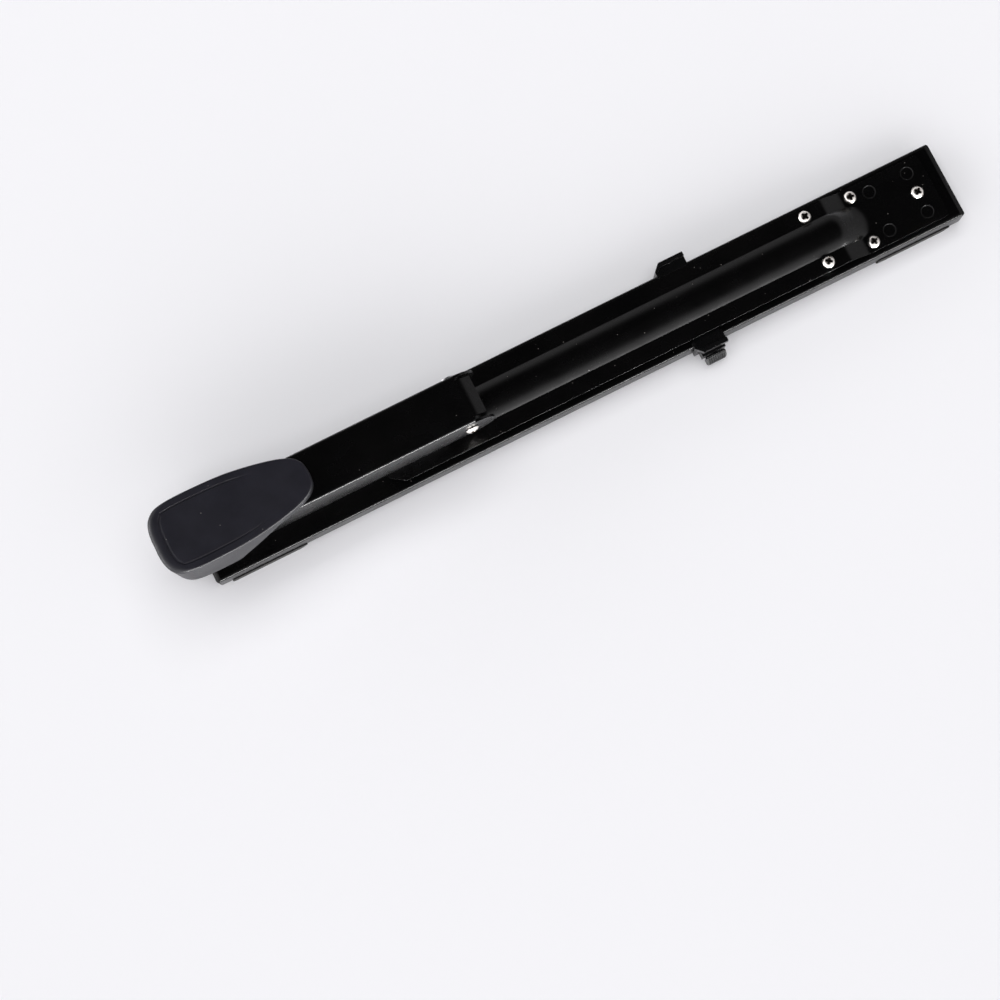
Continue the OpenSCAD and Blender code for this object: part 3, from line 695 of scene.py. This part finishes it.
def build_spring(node, axis, wire, turns, joint=None, anchor_end=0):
    """A coil spring with closed ends in the box of its CAD node, along axis (0, 1 or 2).

    With a joint, the coil gets a mesh of its own; anchor_end (0 low, 1 high) picks the end taken as its
    anchor.
    """
    low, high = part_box(node)
    middle = (low + high) / 2
    others = [i for i in range(3) if i != axis]
    radius = (high[others[0]] - low[others[0]]) / 2 - wire
    start, end = low[axis] + wire, high[axis] - wire
    end_turns = 1.2
    end_lift = wire * 1.9
    points = []
    steps = int((turns + 2 * end_turns) * 20)
    for i in range(steps + 1):
        turned = (turns + 2 * end_turns) * i / steps
        gain = smooth_ramp(turned, end_turns, end_turns + turns, 0.25)
        p = Vector((0, 0, 0))
        lift_low = end_lift * min(1.0, turned / end_turns)
        lift_high = end_lift * max(0.0, (turned - end_turns - turns) / end_turns)
        p[axis] = start + lift_low + (end - start - 3.8 * wire) * gain + lift_high
        p[others[0]] = middle[others[0]] + radius * math.cos(2 * math.pi * turned)
        p[others[1]] = middle[others[1]] + radius * math.sin(2 * math.pi * turned)
        points.append(p)
    coil = as_piece(node + "_coil", mesh_from(node, *tube(points, wire, 10)), node)
    if joint:
        direction, anchor = Vector((0, 0, 0)), middle.copy()
        direction[axis] = 1.0
        anchor[axis] = (low, high)[anchor_end][axis]
        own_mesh(coil)


def build_springs():
    """Coils in place of the CAD springs; four of them, which have a joint, get a mesh of their own."""
    build_spring("lift_spring", 2, 0.45 * MM, 5, "magazine_pivot", 0)
    build_spring("lever_spring", 2, 0.4 * MM, 3, "lever_press", 0)
    build_spring("pusher_spring", 0, 0.26 * MM, 22, "pusher_slide", 0)
    build_spring("anvil_spring", 2, 0.33 * MM, 2)
    build_spring("latch_spring", 1, 0.2 * MM, 1, "latch_press", 1)


def build_staples():
    """The strip of staples, each with its own rounded wire, set close together."""
    low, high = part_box("staple_strip")
    pitch = 0.62 * MM
    count = int((high.x - low.x) / pitch)
    wire = 0.6 * MM
    half = high.y
    bend = 0.8 * MM
    verts, faces = [], []
    path = [Vector((0, -half + wire / 2, low.z))]
    for step in range(5):
        a = math.radians(90 * step / 4)
        path.append(Vector((0, -half + wire / 2 + bend * (1 - math.cos(a)),
                            high.z - wire / 2 - bend * (1 - math.sin(a)))))
    path += [Vector((0, -p.y, p.z)) for p in reversed(path)]
    for number in range(count):
        x = low.x + pitch * (number + 0.5)
        start = len(verts)
        for i, p in enumerate(path):
            ahead = (path[min(i + 1, len(path) - 1)] - path[max(i - 1, 0)]).normalized()
            over = Vector((0, -ahead.z, ahead.y))
            for dx, dn in ((-0.48, -0.3), (-0.3, -0.5), (0.3, -0.5), (0.48, -0.3),
                           (0.48, 0.3), (0.3, 0.5), (-0.3, 0.5), (-0.48, 0.3)):
                verts.append(Vector((x + dx * pitch, p.y, p.z)) + over * dn * wire)
        for i in range(len(path) - 1):
            for k in range(8):
                m = (k + 1) % 8
                ring = start + i * 8
                faces.append((ring + k, ring + m, ring + 8 + m, ring + 8 + k))
        faces.append(tuple(start + k for k in reversed(range(8))))
        faces.append(tuple(start + (len(path) - 1) * 8 + k for k in range(8)))
    as_piece("staple_set", closed("staples", verts, faces), "staple_strip")


build_arm()
build_grip()
build_screws()
build_rivets()
build_springs()
build_staples()

# Width in millimetres of the rounded edges on the pieces that keep their CAD shape
EDGE_WIDTH = {
    "base_shell": 0.2, "sole_plate": 0.4, "mid_pad": 0.25, "front_foot": 0.25, "rear_foot": 0.25,
    "anvil_plate": 0.18, "anvil_clip": 0.12, "arm_spacers": 0.2, "arm_nuts": 0.2,
    "pivot_yoke": 0.18, "yoke_rivets": 0.25, "pivot_nut": 0.2, "pivot_washers": 0.1, "magazine_shell": 0.14,
    "staple_rail": 0.15, "front_guide": 0.25, "pusher": 0.18, "pusher_rod": 0.15, "lifter_arm": 0.15,
    "lever_shell": 0.2, "driver_blade": 0.08, "driver_rivets": 0.25, "grip_screws": 0.15,
    "stop_body": 0.25, "stop_key": 0.2, "stop_latch": 0.12,
}
for node_name, width in EDGE_WIDTH.items():
    refined(node_name, width * MM)
lower_heads("yoke_rivets_finished", 0.2 * MM)


# ---------------------------------------------------------------- floor, light, camera

def build_stage():
    """White floor, and a world that gives the black paint its soft bands of light."""
    bpy.ops.mesh.primitive_plane_add(size=12, location=(0, 0, 0))
    floor = bpy.context.object
    floor.name = "floor"
    mat = bpy.data.materials.new("pale_floor")
    mat.use_nodes = True
    bsdf = mat.node_tree.nodes["Principled BSDF"]
    bsdf.inputs["Base Color"].default_value = (0.9, 0.9, 0.925, 1)
    bsdf.inputs["Roughness"].default_value = 0.7
    floor.data.materials.append(mat)

    world = bpy.data.worlds.new("studio")
    bpy.context.scene.world = world
    world.use_nodes = True
    nodes, links = world.node_tree.nodes, world.node_tree.links
    background = nodes["Background"]
    coords = nodes.new("ShaderNodeTexCoord")
    ramp = nodes.new("ShaderNodeMapRange")
    ramp.interpolation_type = "SMOOTHSTEP"
    ramp.inputs["From Min"].default_value = 0.45
    ramp.inputs["From Max"].default_value = 0.80
    ramp.inputs["To Min"].default_value = 1.75
    ramp.inputs["To Max"].default_value = 0.03

    def towards(x, y, z):
        """How far the ray points along that direction."""
        dot = nodes.new("ShaderNodeVectorMath")
        dot.operation = "DOT_PRODUCT"
        dot.inputs[1].default_value = (x, y, z)
        links.new(coords.outputs["Generated"], dot.inputs[0])
        return dot.outputs["Value"]

    # Bright low down and dark overhead, and brighter at the front and the near side
    links.new(towards(0.0, 0.17, 0.985), ramp.inputs["Value"])
    level = nodes.new("ShaderNodeMath")
    level.operation = "ADD"
    level.inputs[1].default_value = 0.66
    links.new(towards(-0.35, -0.22, 0.0), level.inputs[0])
    strength = nodes.new("ShaderNodeMath")
    strength.operation = "MULTIPLY"
    links.new(ramp.outputs["Result"], strength.inputs[0])
    links.new(level.outputs["Value"], strength.inputs[1])
    links.new(strength.outputs["Value"], background.inputs["Strength"])
    background.inputs["Color"].default_value = (1.0, 0.985, 1.0, 1)


def softbox(name, azimuth, elevation, distance, size, power, gloss_only=False):
    """An area light that gives either the soft light of the room or only the highlights in the gloss."""
    lamp = bpy.data.lights.new(name, "AREA")
    lamp.shape = "RECTANGLE"
    lamp.size, lamp.size_y = size
    lamp.energy = power
    obj = bpy.data.objects.new(name, lamp)
    a, e = math.radians(azimuth), math.radians(elevation)
    obj.location = Vector((math.cos(a) * math.cos(e), math.sin(a) * math.cos(e), math.sin(e))) * distance
    obj.rotation_euler = (-obj.location).to_track_quat("-Z", "Y").to_euler()
    obj.visible_glossy = gloss_only
    obj.visible_diffuse = not gloss_only
    bpy.context.scene.collection.objects.link(obj)


def build_camera():
    """The photo's view: nearly straight down, turned so that the stapler lies across the picture."""
    camera = bpy.data.cameras.new("camera")
    camera.lens = 72.0
    camera.sensor_width = 36.0
    camera.clip_end = 20
    obj = bpy.data.objects.new("camera", camera)
    obj.location = Vector((-103.5, -155.4, 911.5)) * MM
    aim = Vector((-59.2, -39.9, 0)) * MM
    roll = math.radians(-5.56)
    look = (aim - obj.location).to_track_quat("-Z", "Y").to_matrix()
    obj.rotation_euler = (look @ Matrix.Rotation(roll, 3, "Z")).to_euler()
    bpy.context.scene.collection.objects.link(obj)
    bpy.context.scene.camera = obj


build_stage()
softbox("top_box", 90, 84, 2.2, (2.0, 2.0), 33)
softbox("near_strip", -92, 3.2, 1.3, (1.8, 0.12), 75, gloss_only=True)
softbox("front_strip", 172, 6, 1.3, (1.2, 0.16), 12, gloss_only=True)
build_camera()
bpy.context.scene.view_settings.view_transform = "Standard"
